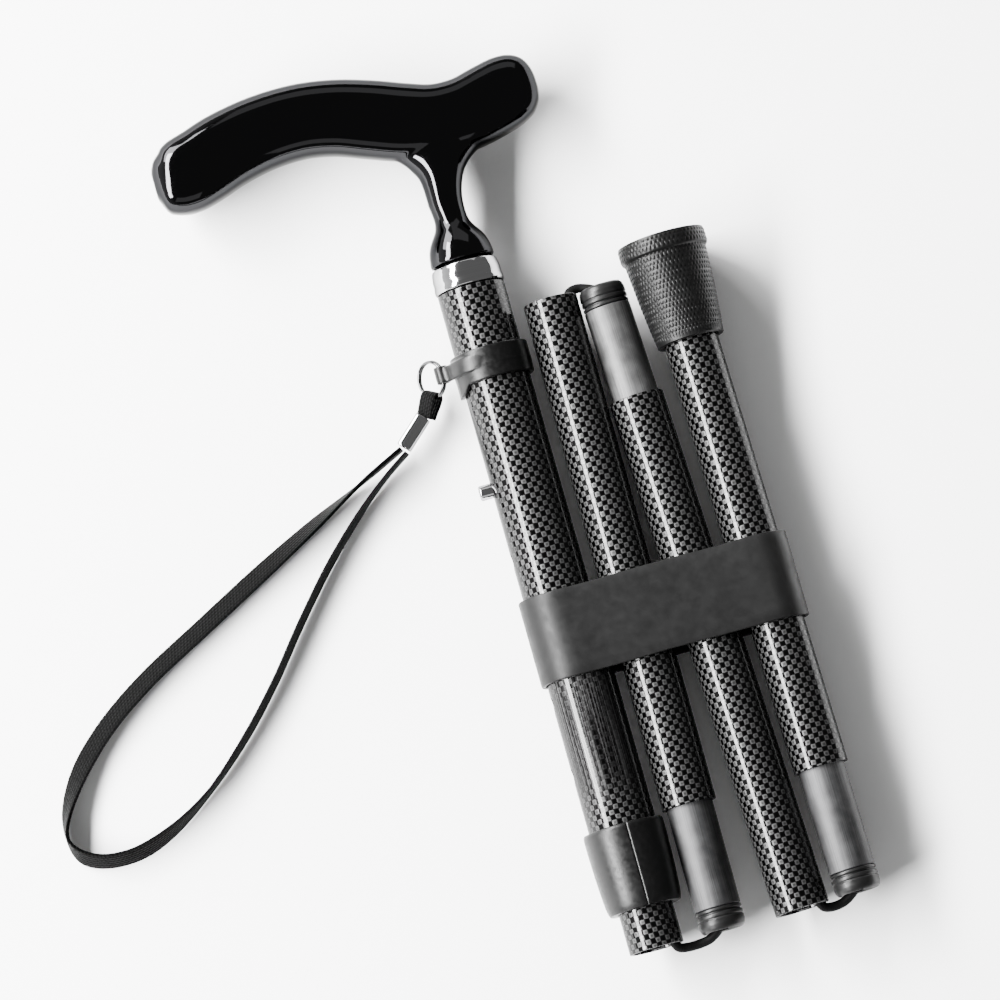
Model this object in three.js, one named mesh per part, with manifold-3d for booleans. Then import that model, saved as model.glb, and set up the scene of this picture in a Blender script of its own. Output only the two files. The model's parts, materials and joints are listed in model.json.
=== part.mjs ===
// A folding walking cane, folded up: a derby handle on an adjustable upper section, three more
// tube sections hinged on one elastic cord, a rubber ferrule, a holding band and a wrist strap.
//
// Units are millimetres. While it is being built, the upper section's axis is the Y axis, with the
// outer tube's top end at y = 0, the handle above it and the tube mouths below. X runs across the
// four tubes and Z is up. At the end the whole cane is raised onto the ground, and its origin is
// moved to the middle of its footprint.

import * as THREE from 'three';
import { mergeVertices } from 'three/addons/utils/BufferGeometryUtils.js';
import Module from 'manifold-3d';

const wasm = await Module();
wasm.setup();

// ---- driving dimensions ------------------------------------------------------------------------

const GAP = 0.3; // clearance between pieces that touch
const SIDES = 28; // sides of a turned piece

const OUTER_R = 11.7; // outer tube
const OUTER_BORE = 10.4;
const OUTER_LENGTH = 214;

const TUBE_R = 9.4; // inner tube and the three folding tubes
const TUBE_BORE = 8.3;
const INNER_TOP = -50; // top end of the upper section's inner tube

const COUPLER_R = TUBE_BORE - GAP;
const COUPLER_BORE = 6.9;
const COUPLER_HELD = 30; // length of a coupler that stays in its own tube
const CAP_HEAD = 7.6; // height of the cap on a coupler's end
const CAP_SPIGOT = 5;

const CORD_R = 1.7; // elastic cord
const CORD_HOLE = CORD_R + GAP;
const CORD_BOW = 4; // how far a cord bend's control points stand past the tube ends

const MOUTH_Y = -235; // the first fold: the level where the inner tube's mouth meets the next cap
const END_GAP = 0.4; // a tube end stops this short of its fold's level

const HOLE_PITCH = 25.4; // height adjustment
const HOLE_COUNT = 5;
const FIRST_HOLE = -69;
const BUTTON_R = 2.6;
const BUTTON_TIP = 16.1; // the button's outer end, from the tube's axis

const FERRULE_R = 15.5; // the widest round piece, which the cane lies on
const FERRULE_LENGTH = 37;
const SOLE = 3.5;

const BAND_TOP = -109;
const BAND_WIDTH = 30;
const BAND_WALL = 1.6;

const BARREL_X = -17.3; // the strap clip's barrel
const BARREL_Y = -26;
const RING_R = 6.2; // split ring, to the middle of its wire
const WIRE_R = 0.6;
const RING_TILT = -50; // degrees: the ring slopes down from the barrel to the ground
const TAB_AROUND = 65; // degrees round the ring, from its lowest point to the webbing tab
const TAB_LIFT = 19; // degrees the tab rises out of the ring's plane, to lie nearly level

const deg = THREE.MathUtils.degToRad;

// Each folding section hangs from a fold beside the mouth of the one before it. side is where the
// pivot lies, seen along the unfolded cane, arm is its distance from both tube axes, and angle is
// how far the section is turned back from straight.
const FOLDS = [
  { side: 1, arm: 11.75, angle: deg(179.6), length: 224.4, exposed: 44 },
  { side: -1, arm: 8.9, angle: deg(-177.5), length: 225.1, exposed: 40.5 },
  { side: 1, arm: 10, angle: deg(178.85), length: 234.3, exposed: 44 },
];

// ---- materials ---------------------------------------------------------------------------------

function finish(color, roughness, metalness) {
  return new THREE.MeshStandardMaterial({ color, roughness, metalness });
}

const glossBlack = finish(0x0b0b0c, 0.12, 0);
const chrome = finish(0xd8d9dc, 0.1, 1);
const carbon = finish(0x2a2b2d, 0.2, 0.1);
const satinMetal = finish(0x6d6e72, 0.4, 0.8);
const blackPlastic = finish(0x232326, 0.35, 0);
const rubber = finish(0x2b2b2c, 0.75, 0);
const elastic = finish(0x131314, 0.85, 0);
const webbing = finish(0x18181a, 0.9, 0);
const steel = finish(0x9a9ca0, 0.35, 1);
const bandRubber = finish(0x3a3a3c, 0.55, 0);

// ---- shapes ------------------------------------------------------------------------------------

// A turned solid about the Y axis. The outline is a list of [radius, y] points that climbs the
// outside and comes down the bore.
function turned(outline, sides = SIDES) {
  const points = outline.map(([radius, y]) => new THREE.Vector2(radius, y));
  return new THREE.LatheGeometry(points, sides);
}

function rod(radius, low, high, sides = SIDES) {
  return turned([[0, low], [radius, low], [radius, high], [0, high]], sides);
}

function pipe(bore, radius, low, high, sides = SIDES) {
  return turned([[radius, low], [radius, high], [bore, high], [bore, low], [radius, low]], sides);
}

function solid(geometry) {
  const bare = geometry.clone();
  bare.deleteAttribute('normal');
  bare.deleteAttribute('uv');
  const merged = mergeVertices(bare, 1e-4);
  const corners = merged.index.array;
  const triVerts = [];
  for (let i = 0; i < corners.length; i += 3) {
    const [a, b, c] = corners.slice(i, i + 3);
    if (a !== b && b !== c && c !== a) triVerts.push(a, b, c);
  }
  const mesh = new wasm.Mesh({
    numProp: 3,
    vertProperties: merged.attributes.position.array,
    triVerts: Uint32Array.from(triVerts),
  });
  return new wasm.Manifold(mesh);
}

function geometryOf(manifold) {
  const mesh = manifold.getMesh();
  const geometry = new THREE.BufferGeometry();
  geometry.setAttribute('position', new THREE.BufferAttribute(mesh.vertProperties, 3));
  geometry.setIndex(new THREE.BufferAttribute(mesh.triVerts, 1));
  return geometry;
}

// Joins the first list of geometries and cuts the second list from them.
function joined(added, cut = []) {
  let body = solid(added[0]);
  for (const geometry of added.slice(1)) body = body.add(solid(geometry));
  for (const geometry of cut) body = body.subtract(solid(geometry));
  return geometryOf(body);
}

// A cord of the given radius along a curve.
function cord(curve, radius, steps) {
  const section = new THREE.Shape().absarc(0, 0, radius, 0, 2 * Math.PI);
  return new THREE.ExtrudeGeometry(section, { extrudePath: curve, steps, curveSegments: 5 });
}

function place(parent, name, geometry, material) {
  const mesh = new THREE.Mesh(geometry, material);
  mesh.name = name;
  parent.add(mesh);
  return mesh;
}

// ---- handle ------------------------------------------------------------------------------------

const BELL_FOOT = 9.1; // the handle's bell ends here, on the chrome ring
const PLUG_R = 7.5; // the plug's neck, inside the ring and the bell
const PLUG_TOP = 19;
const PLUG_FOOT = -24;
const SCREW_R = 2.2;
const SCREW_TIP = 40;

// The derby grip, a flat outline with rounded edges.
function grip() {
  const thickness = 23;
  const rounding = { bevelThickness: 7, bevelSize: 5, bevelOffset: -5, bevelSegments: 3 };
  const outline = [
    [-88.4, 74.7], [-69, 82], [-46, 84.2], [-26, 82], [-3, 73.5], [11, 70.6], [26, 73.6], [35, 73.8],
    [41, 66], [39.5, 56], [33, 50], [14.6, 45.7], [6, 40], [-3, 39], [-12, 46.5], [-31, 57],
    [-46, 60], [-68.5, 55.4], [-84, 50.6], [-92.6, 55], [-94.6, 64.7],
  ].map(([x, y]) => new THREE.Vector2(x, y));
  const shape = new THREE.Shape();
  shape.moveTo(outline[0].x, outline[0].y);
  shape.splineThru([...outline.slice(1), outline[0]]);
  const depth = thickness - 2 * rounding.bevelThickness;
  const geometry = new THREE.ExtrudeGeometry(shape, { depth, curveSegments: 2, ...rounding });
  return geometry.translate(0, 0, -depth / 2);
}

// The neck flares into a bell that holds the plug.
function neckAndBell() {
  return turned([
    [0, BELL_FOOT], [11.2, BELL_FOOT], [11.3, 12], [10.2, 16], [7.4, 20.5], [5.6, 24], [5, 30],
    [5.4, 37], [6.6, 42], [9, 47], [9, 52], [0, 52],
  ]);
}

function handle(cane) {
  const socket = rod(PLUG_R + GAP, BELL_FOOT - 1, PLUG_TOP + GAP);
  const screwHole = rod(SCREW_R + GAP, PLUG_TOP, SCREW_TIP + GAP, 12);
  place(cane, 'handle', joined([grip(), neckAndBell()], [socket, screwHole]), glossBlack);

  const shoulder = OUTER_BORE - GAP;
  const plugHole = SCREW_R + GAP;
  const plug = turned([
    [plugHole, PLUG_FOOT], [shoulder, PLUG_FOOT], [shoulder, -1], [PLUG_R, -GAP],
    [PLUG_R, PLUG_TOP], [plugHole, PLUG_TOP], [plugHole, PLUG_FOOT],
  ]);
  place(cane, 'handle_plug', plug, blackPlastic);

  const head = PLUG_FOOT - GAP;
  const screw = turned([
    [0, head - 3], [4.5, head - 3], [4.5, head], [SCREW_R, head], [SCREW_R, SCREW_TIP - 4],
    [0, SCREW_TIP],
  ], 12);
  place(cane, 'handle_screw', screw, steel);

  const ringBore = PLUG_R + GAP;
  const ring = turned([
    [11.7, GAP], [12.1, 1], [12, 3.5], [11.7, 6.5], [11.2, BELL_FOOT - GAP], [ringBore, BELL_FOOT - GAP],
    [ringBore, GAP], [11.7, GAP],
  ], 36);
  place(cane, 'handle_ring', ring, chrome);
}

// ---- upper section -----------------------------------------------------------------------------

// A drill across the tube's left wall, level with y.
function sideDrill(radius, y) {
  return rod(radius, 5, OUTER_R + 2, 12).rotateZ(Math.PI / 2).translate(0, y, 0);
}

function outerTube(cane) {
  const holes = [];
  for (let i = 0; i < HOLE_COUNT; i++) {
    holes.push(sideDrill(BUTTON_R + GAP, FIRST_HOLE - i * HOLE_PITCH));
  }
  const tube = joined([pipe(OUTER_BORE, OUTER_R, -OUTER_LENGTH, 0)], holes);
  place(cane, 'upper_outer_tube', tube, carbon);
}

// The collar closes over the outer tube's lower end and squeezes a soft bush onto the inner tube.
function lockingCollar(cane) {
  const top = -191.5;
  const foot = -220.5;
  const lip = 3.5; // height of the lip under the bush
  const bore = OUTER_R + GAP;
  const lipBore = TUBE_R + 0.4;
  const collar = turned([
    [12.2, foot], [12.7, foot + 0.6], [13.3, foot + 6], [13.8, foot + 13], [14, foot + 20],
    [14, top - 1], [13.6, top], [bore, top], [bore, foot + lip], [lipBore, foot + lip],
    [lipBore, foot], [12.2, foot],
  ]);
  place(cane, 'locking_collar', collar, blackPlastic);
  const bush = pipe(lipBore, bore - GAP, foot + lip + GAP, -OUTER_LENGTH - GAP);
  place(cane, 'anti_rattle_bush', bush, rubber);
}

// The clip is a ring round the outer tube, with an arm and barrel that the split ring runs through.
function strapClip(cane) {
  const high = -22;
  const low = -33;
  const bore = OUTER_R + GAP;
  const clipR = 13.6;
  const barrelR = 2.5;
  const armHeight = 6;
  const ring = turned([
    [clipR - 0.4, low], [clipR, low + 0.5], [clipR, high - 0.5], [clipR - 0.4, high], [bore, high],
    [bore, low], [clipR - 0.4, low],
  ]);
  const arm = new THREE.BoxGeometry(-clipR - BARREL_X + 2, armHeight, 3);
  arm.translate((BARREL_X - clipR) / 2 + 0.5, BARREL_Y, 0);
  const barrel = rod(barrelR, BARREL_Y - armHeight / 2, BARREL_Y + armHeight / 2, 16);
  barrel.translate(BARREL_X, 0, 0);
  const eye = rod(1.5, BARREL_Y - armHeight, BARREL_Y + armHeight, 12).translate(BARREL_X, 0, 0);
  const hook = new THREE.BoxGeometry(3, 5, 9).translate(-12.4, low - 1.5, 0);
  const inside = rod(bore, low - 6, high + 2);
  place(cane, 'strap_clip', joined([ring, arm, barrel, hook], [eye, inside]), blackPlastic);
}

function innerTube(inner) {
  const mouth = MOUTH_Y + END_GAP;
  const buttonHole = sideDrill(BUTTON_R + GAP, FIRST_HOLE);
  const tube = joined([pipe(TUBE_BORE, TUBE_R, mouth, INNER_TOP)], [buttonHole]);
  place(inner, 'upper_inner_tube', tube, carbon);

  const wide = OUTER_BORE - GAP;
  const narrow = TUBE_BORE - GAP;
  const eye = 4;
  const bush = turned([
    [narrow, INNER_TOP - 8], [narrow, INNER_TOP + GAP], [wide, INNER_TOP + GAP],
    [wide, INNER_TOP + 6], [eye, INNER_TOP + 6], [eye, INNER_TOP - 8], [narrow, INNER_TOP - 8],
  ]);
  place(inner, 'inner_tube_bush', bush, blackPlastic);
}

// A bent leaf spring in the inner tube pushes the button out through both tubes.
function snapButton(inner) {
  const reach = TUBE_BORE - 0.8;
  const leaf = reach - 0.6;
  const top = FIRST_HOLE + 9;
  const bend = FIRST_HOLE - 11;
  const width = 5;
  const strip = new THREE.Shape();
  strip.moveTo(-reach, top);
  strip.lineTo(-reach, bend);
  strip.absarc(0, bend, reach, Math.PI, 2 * Math.PI);
  strip.lineTo(reach, top);
  strip.lineTo(leaf, top);
  strip.absarc(0, bend, leaf, 2 * Math.PI, Math.PI, true);
  strip.lineTo(-leaf, top);
  strip.closePath();
  const spring = new THREE.ExtrudeGeometry(strip, {
    depth: width, curveSegments: 10, bevelEnabled: false,
  });
  place(inner, 'button_spring', spring.translate(0, 0, -width / 2), steel);

  const button = turned([
    [0, reach + GAP], [BUTTON_R, reach + GAP], [BUTTON_R, BUTTON_TIP - 0.8],
    [BUTTON_R - 0.7, BUTTON_TIP], [0, BUTTON_TIP],
  ], 16);
  button.rotateZ(Math.PI / 2).translate(0, FIRST_HOLE, 0);
  place(inner, 'snap_button', button, chrome);
}

// ---- elastic cord ------------------------------------------------------------------------------

// The cord ends in a knot behind a plug that is pressed into the tube. up is 1 when the knot lies
// above the plug and -1 when it lies below.
function cordEnd(section, label, y, up) {
  const plugHalf = 5;
  const plug = pipe(CORD_HOLE, TUBE_BORE - GAP, y - plugHalf, y + plugHalf, 20);
  place(section, `cord_plug_${label}`, plug, blackPlastic);
  const knot = new THREE.SphereGeometry(4.2, 14, 8);
  knot.scale(1, 0.85, 1).translate(0, y + up * (plugHalf + GAP + 3.6), 0);
  place(section, `cord_knot_${label}`, knot, elastic);
}

function straightCord(section, name, low, high) {
  place(section, name, rod(CORD_R, low, high, 10), elastic);
}

// The bend that the cord makes from one tube's mouth to the next coupler, in the first tube's frame.
function cordBend(section, name, mouthY, hinged) {
  const start = new THREE.Vector3(0, mouthY, 0);
  const end = hinged.position.clone();
  const outward = new THREE.Vector3(0, CORD_BOW, 0).applyEuler(hinged.rotation);
  const down = new THREE.Vector3(0, -CORD_BOW, 0);
  const curve = new THREE.CubicBezierCurve3(start, start.clone().add(down), end.clone().add(outward), end);
  place(section, name, cord(curve, CORD_R, 16), elastic);
}

// ---- folding sections --------------------------------------------------------------------------

// The frame of a section, turned back about the fold pivot beside the last tube's mouth. In its
// own frame a section hangs down from y = 0, as in the straight cane.
function foldedFrame(parent, mouthY, fold) {
  const arm = new THREE.Vector2(-fold.side * fold.arm, 0);
  arm.rotateAround(new THREE.Vector2(), fold.angle);
  const frame = new THREE.Group();
  frame.position.set(fold.side * fold.arm + arm.x, mouthY + arm.y, 0);
  frame.rotation.z = fold.angle;
  parent.add(frame);
  return frame;
}

// The coupler that plugs into the section before, with a grooved cap on its end.
function coupler(section, number, exposed) {
  const top = -END_GAP;
  const neck = top - CAP_HEAD;
  const spigot = COUPLER_BORE - GAP;
  const groove = COUPLER_R - 0.6;
  const cap = turned([
    [spigot, neck - CAP_SPIGOT], [spigot, neck], [COUPLER_R, neck], [COUPLER_R, neck + 0.9],
    [groove, neck + 1.1], [groove, neck + 1.7], [COUPLER_R, neck + 1.9], [COUPLER_R, top - 2.4],
    [COUPLER_R - 0.8, top - 0.7], [COUPLER_R - 2.6, top], [CORD_HOLE + 0.8, top],
    [CORD_HOLE, top - 1], [CORD_HOLE, neck - CAP_SPIGOT], [spigot, neck - CAP_SPIGOT],
  ], 24);
  place(section, `coupler_cap_${number}`, cap, blackPlastic);
  const foot = top - exposed - COUPLER_HELD;
  const sleeve = pipe(COUPLER_BORE, COUPLER_R, foot, neck - GAP);
  place(section, `coupler_${number}`, sleeve, satinMetal);
}

function ferrule(section, sole) {
  const mouth = sole + FERRULE_LENGTH;
  const bore = TUBE_R + GAP;
  const cup = turned([
    [0, sole], [5, sole], [5.4, sole + 1], [6.6, sole + 1], [7, sole], [9.6, sole], [10, sole + 1],
    [11.2, sole + 1], [11.6, sole], [14.8, sole], [FERRULE_R, sole + 0.7], [FERRULE_R, sole + 5.4],
    [15, sole + 6], [14.4, sole + 6.2], [13.4, sole + 20], [11.9, mouth - 1], [11.4, mouth],
    [bore, mouth], [bore, sole + SOLE], [0, sole + SOLE],
  ], 32);
  place(section, 'rubber_ferrule', cup, rubber);
  const washer = rod(TUBE_R, sole + SOLE + GAP, sole + SOLE + GAP + 1.2);
  place(section, 'ferrule_washer', washer, steel);
  return sole + SOLE + 1.2 + 2 * GAP;
}

// ---- holding band ------------------------------------------------------------------------------

// The outline of a band pulled tight round two circles, the second one at x = span.
function beltOutline(nearR, farR, span) {
  const lean = Math.acos((nearR - farR) / span);
  const outline = new THREE.Path();
  outline.absarc(0, 0, nearR, lean, 2 * Math.PI - lean);
  outline.absarc(span, 0, farR, -lean, lean);
  outline.closePath();
  return outline;
}

function holdingBand(cane, span) {
  const slack = 0.6; // the tubes aren't quite parallel
  const nearR = OUTER_R + GAP;
  const farR = TUBE_R + slack;
  const outside = beltOutline(nearR + BAND_WALL, farR + BAND_WALL, span);
  const shape = new THREE.Shape(outside.getPoints(12));
  shape.holes.push(new THREE.Path(beltOutline(nearR, farR, span).getPoints(12)));
  const band = new THREE.ExtrudeGeometry(shape, { depth: BAND_WIDTH, bevelEnabled: false });
  band.rotateX(Math.PI / 2).translate(0, BAND_TOP, 0);
  place(cane, 'holding_band', band, bandRubber);
}

// ---- wrist strap -------------------------------------------------------------------------------

// The split ring hangs in the clip's barrel, and a folded webbing tab hangs on the ring.
function strapRing(cane) {
  const hanger = new THREE.Group();
  hanger.position.set(BARREL_X, BARREL_Y, 0);
  hanger.rotation.y = deg(RING_TILT);
  cane.add(hanger);

  const ring = new THREE.TorusGeometry(RING_R, WIRE_R, 6, 28);
  const middle = 0.4 - RING_R; // the wire bows both ways about the barrel's axis
  place(hanger, 'split_ring', ring.translate(middle, 0, 0), chrome);

  const length = 7.4;
  const thickness = 4.6;
  const width = 6;
  const eyeAt = 2.2; // from the tab's upper end to the ring's wire
  const side = new THREE.Shape();
  side.absarc(0, 0, thickness / 2, -Math.PI / 2, Math.PI / 2);
  side.lineTo(eyeAt - length, thickness / 2);
  side.lineTo(eyeAt - length, -thickness / 2);
  side.closePath();
  side.holes.push(new THREE.Path().absarc(0, 0, 1.7, 0, 2 * Math.PI));
  const tab = new THREE.ExtrudeGeometry(side, { depth: width, curveSegments: 6, bevelEnabled: false });
  tab.translate(0, 0, -width / 2).rotateX(Math.PI / 2);
  const mesh = place(hanger, 'strap_tab', tab, webbing);
  const around = deg(TAB_AROUND);
  mesh.rotation.set(0, deg(TAB_LIFT), around, 'ZYX');
  mesh.position.set(middle - RING_R * Math.cos(around), -RING_R * Math.sin(around), 0);
}

const CRIMP_START = new THREE.Vector3(-26.3, -37.7, -7.1);
const CRIMP_END = new THREE.Vector3(-35.9, -46, -7.6);

function crimp(cane) {
  const run = new THREE.Vector3().subVectors(CRIMP_END, CRIMP_START);
  const sleeve = rod(2.6, 0, run.length(), 14);
  const mesh = place(cane, 'strap_crimp', sleeve, chrome);
  mesh.position.copy(CRIMP_START);
  mesh.quaternion.setFromUnitVectors(new THREE.Vector3(0, 1, 0), run.normalize());
}

// The middle line of the webbing loop, out of the crimp, round the loop and back to the crimp.
const STRAP_ROUTE = [
  [-37.3, -45.7, -7.7], [-46, -49.7, -8.6], [-57, -54.7, -10], [-71.5, -61.7, -11.2],
  [-95, -73.6, -11.3], [-119, -86.2, -11.3], [-142.5, -98.7, -11.3], [-160.2, -110.9, -11.3],
  [-173.3, -124, -11.3], [-181, -137, -11.3], [-182.3, -145, -11.3], [-179.3, -151, -11.3],
  [-172.6, -154.6, -11.3], [-161, -155.2, -11.3], [-147.7, -151, -11.3], [-132, -141.6, -11.3],
  [-114.7, -126.6, -11.3], [-100.3, -111.2, -11.3], [-86.3, -94, -11.3], [-71.3, -77, -11.3],
  [-55.5, -61.8, -10.2], [-44.5, -53.2, -8.8], [-35.8, -47.5, -7.7],
].map(([x, y, z]) => new THREE.Vector3(x, y, z));

// The webbing stands on its edge, so its section is tall and thin.
function wristStrap(cane) {
  const tall = 4;
  const thin = 0.75;
  const corner = 0.4;
  const section = new THREE.Shape([
    new THREE.Vector2(-tall + corner, -thin), new THREE.Vector2(tall - corner, -thin),
    new THREE.Vector2(tall, -thin + corner), new THREE.Vector2(tall, thin - corner),
    new THREE.Vector2(tall - corner, thin), new THREE.Vector2(-tall + corner, thin),
    new THREE.Vector2(-tall, thin - corner), new THREE.Vector2(-tall, -thin + corner),
  ]);
  const route = new THREE.CatmullRomCurve3(STRAP_ROUTE, false, 'centripetal');
  const strap = new THREE.ExtrudeGeometry(section, { extrudePath: route, steps: 72 });
  place(cane, 'wrist_strap', strap, webbing);
}

// ---- assembly ----------------------------------------------------------------------------------

const cane = new THREE.Group();
handle(cane);
outerTube(cane);
strapClip(cane);
lockingCollar(cane);
innerTube(cane);
snapButton(cane);

const upperPlug = -102;
cordEnd(cane, 'upper', upperPlug, 1);
straightCord(cane, 'cord_upper', MOUTH_Y + GAP, upperPlug + 5);

let section = cane;
let mouthY = MOUTH_Y;
FOLDS.forEach((fold, index) => {
  const number = index + 2;
  const last = index === FOLDS.length - 1;
  const hinged = foldedFrame(section, mouthY, fold);
  cordBend(section, `cord_bend_${index + 1}`, mouthY, hinged);
  coupler(hinged, number, fold.exposed);
  const tubeTop = -END_GAP - fold.exposed;
  const tubeFoot = last ? ferrule(hinged, -fold.length) : END_GAP - fold.length;
  place(hinged, `tube_${number}`, pipe(TUBE_BORE, TUBE_R, tubeFoot, tubeTop), carbon);
  const plugY = -150;
  if (last) cordEnd(hinged, 'tip', plugY, -1);
  straightCord(hinged, `cord_${number}`, last ? plugY - 5 : GAP - fold.length, -GAP);
  section = hinged;
  mouthY = -fold.length;
});

cane.updateMatrixWorld(true);
const bandMiddle = BAND_TOP - BAND_WIDTH / 2;
const ferruleEnd = section.localToWorld(new THREE.Vector3(0, -FOLDS[2].length, 0));
const couplerEnd = section.localToWorld(new THREE.Vector3(0, 0, 0));
const along = (bandMiddle - couplerEnd.y) / (ferruleEnd.y - couplerEnd.y);
holdingBand(cane, THREE.MathUtils.lerp(couplerEnd.x, ferruleEnd.x, along));

// The footprint is measured without the strap, which lies loose beside the cane.
cane.updateMatrixWorld(true);
const footprint = new THREE.Box3().setFromObject(cane);
strapRing(cane);
crimp(cane);
wristStrap(cane);
const centre = footprint.getCenter(new THREE.Vector3());
cane.position.set(-centre.x, -centre.y, FERRULE_R);

export default cane;
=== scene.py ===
"""A folding walking cane, lying folded on a pale floor.

The CAD frame gives every place and axis. Sizes below are in millimetres, and each piece is drawn in
the frame of its own tube section: Y runs up the section towards the handle end, Z is up from the
floor, and the section hangs down from y = 0.
"""

import json
import math

import bmesh
import bpy
from mathutils import Matrix, Vector, noise


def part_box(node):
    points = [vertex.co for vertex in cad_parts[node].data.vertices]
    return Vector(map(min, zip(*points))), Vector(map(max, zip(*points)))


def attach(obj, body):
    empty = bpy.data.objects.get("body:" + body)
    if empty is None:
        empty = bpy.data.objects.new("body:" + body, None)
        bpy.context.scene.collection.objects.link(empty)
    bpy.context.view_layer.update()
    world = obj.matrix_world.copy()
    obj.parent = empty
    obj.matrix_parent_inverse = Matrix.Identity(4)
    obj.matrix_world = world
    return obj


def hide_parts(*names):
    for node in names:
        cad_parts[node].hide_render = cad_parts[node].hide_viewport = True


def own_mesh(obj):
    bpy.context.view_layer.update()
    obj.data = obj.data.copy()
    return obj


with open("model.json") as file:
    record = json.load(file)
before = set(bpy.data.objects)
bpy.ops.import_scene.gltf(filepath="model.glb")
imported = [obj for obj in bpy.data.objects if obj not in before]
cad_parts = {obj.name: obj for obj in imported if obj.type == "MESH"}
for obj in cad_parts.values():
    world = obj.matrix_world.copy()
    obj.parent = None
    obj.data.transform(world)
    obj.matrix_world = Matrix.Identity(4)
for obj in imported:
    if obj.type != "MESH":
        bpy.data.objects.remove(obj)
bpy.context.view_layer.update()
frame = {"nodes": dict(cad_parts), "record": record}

MM = 0.001
TAU = 2 * math.pi
SIDES = 128

# Sizes that the CAD frame's pieces have too.
GAP, END_GAP = 0.3, 0.4
OUTER_R, OUTER_BORE, OUTER_LENGTH = 11.7, 10.4, 214
TUBE_R, TUBE_BORE = 9.4, 8.3
INNER_TOP, MOUTH_Y = -50, -235
COUPLER_R, COUPLER_BORE, COUPLER_HELD = 8.0, 6.9, 30
CAP_HEAD, CAP_SPIGOT, CORD_HOLE = 7.6, 5, 2.0
FERRULE_R, FERRULE_LENGTH, SOLE = 15.5, 37, 3.5
HOLE_PITCH, HOLE_COUNT, FIRST_HOLE = 25.4, 5, -69
BUTTON_R, BUTTON_TIP = 2.6, 16.1
BAND_TOP, BAND_WIDTH, BAND_WALL, BAND_SLACK = -109, 30, 1.6, 0.6
BARREL_X, BARREL_Y = -17.3, -26
RING_R, RING_TILT = 6.2, math.radians(-50)
TAB_AROUND, TAB_LIFT = math.radians(65), math.radians(19)
EXPOSED = {2: 44, 3: 40.5, 4: 44}
LENGTHS = {2: 224.4, 3: 225.1, 4: 234.3}

# Sizes that only the pieces drawn here have.
STRETCHED_R = 1.6  # the cord where it is stretched round a bend
WEAVE_CELL = 1.74
TAPE_RIB = 1.15
SHARP = math.radians(38)


# ---- places from the frame ---------------------------------------------------------------------

def frame_at(origin, up):
    """The matrix of a section whose y = 0 is at origin and whose Y axis is up."""
    return Matrix((
        (up.y, up.x, 0, origin.x),
        (-up.x, up.y, 0, origin.y),
        (0, 0, 1, origin.z),
        (0, 0, 0, 1),
    ))


def section_frames():
    """Matrices of the upper section (1) and the three folding sections (2 to 4)."""
    joints = {joint["name"]: joint for joint in frame["record"]["behaviour"]["joints"]}
    mounts = {mount["name"]: mount for mount in frame["record"]["mounts"]}
    low, high = (Vector(corner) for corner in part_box("upper_outer_tube"))
    middle = (low + high) / 2
    frames = {1: frame_at(Vector((middle.x, high.y, middle.z)), Vector((0, 1, 0)))}
    sole_up = -Vector(mounts["ferrule_sole"]["axis"])
    ups = {2: Vector(joints["seat_2"]["axis"]), 3: Vector(joints["seat_3"]["axis"]), 4: sole_up}
    for number, up in ups.items():
        pivot = Vector(joints[f"fold_{number - 1}"]["pos_m"])
        arm = (frames[number - 1].inverted() @ pivot).x
        across = Vector((up.y, -up.x, 0))
        frames[number] = frame_at(pivot - arm * across, up)
    return frames


FRAMES = section_frames()
UPPER = FRAMES[1]
BODIES = {1: "inner_section", 2: "section_2", 3: "section_3", 4: "section_4"}


# ---- camera and light --------------------------------------------------------------------------

VIEW_AZIMUTH = math.radians(-15.6)
VIEW_ELEVATION = math.radians(82)
VIEW_DISTANCE = 2.5
TARGET = UPPER @ (Vector((-9.9, -72.8, 0)) * MM)
AHEAD = Vector((-math.sin(VIEW_AZIMUTH), math.cos(VIEW_AZIMUTH), 0))
RIGHT = Vector((AHEAD.y, -AHEAD.x, 0))
UP = Vector((0, 0, 1))


def aim(obj, target):
    obj.rotation_euler = (target - obj.location).to_track_quat("-Z", "Y").to_euler()


def add_camera():
    data = bpy.data.cameras.new("camera")
    data.lens = 264
    data.sensor_width = 36
    data.clip_end = 50
    camera = bpy.data.objects.new("camera", data)
    back = -AHEAD * math.cos(VIEW_ELEVATION) + UP * math.sin(VIEW_ELEVATION)
    camera.location = TARGET + VIEW_DISTANCE * back
    aim(camera, TARGET)
    bpy.context.collection.objects.link(camera)
    bpy.context.scene.camera = camera


def softbox(name, direction, distance, width, length, power):
    """A rectangular light that faces the cane. Its length runs along the tubes."""
    data = bpy.data.lights.new(name, "AREA")
    data.shape = "RECTANGLE"
    data.size = width
    data.size_y = length
    data.energy = power
    lamp = bpy.data.objects.new(name, data)
    lamp.location = TARGET + direction.normalized() * distance
    away = (lamp.location - TARGET).normalized()
    along = (AHEAD - AHEAD.dot(away) * away).normalized()
    across = along.cross(away)
    lamp.rotation_euler = Matrix((across, along, away)).transposed().to_euler()
    bpy.context.collection.objects.link(lamp)


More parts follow.
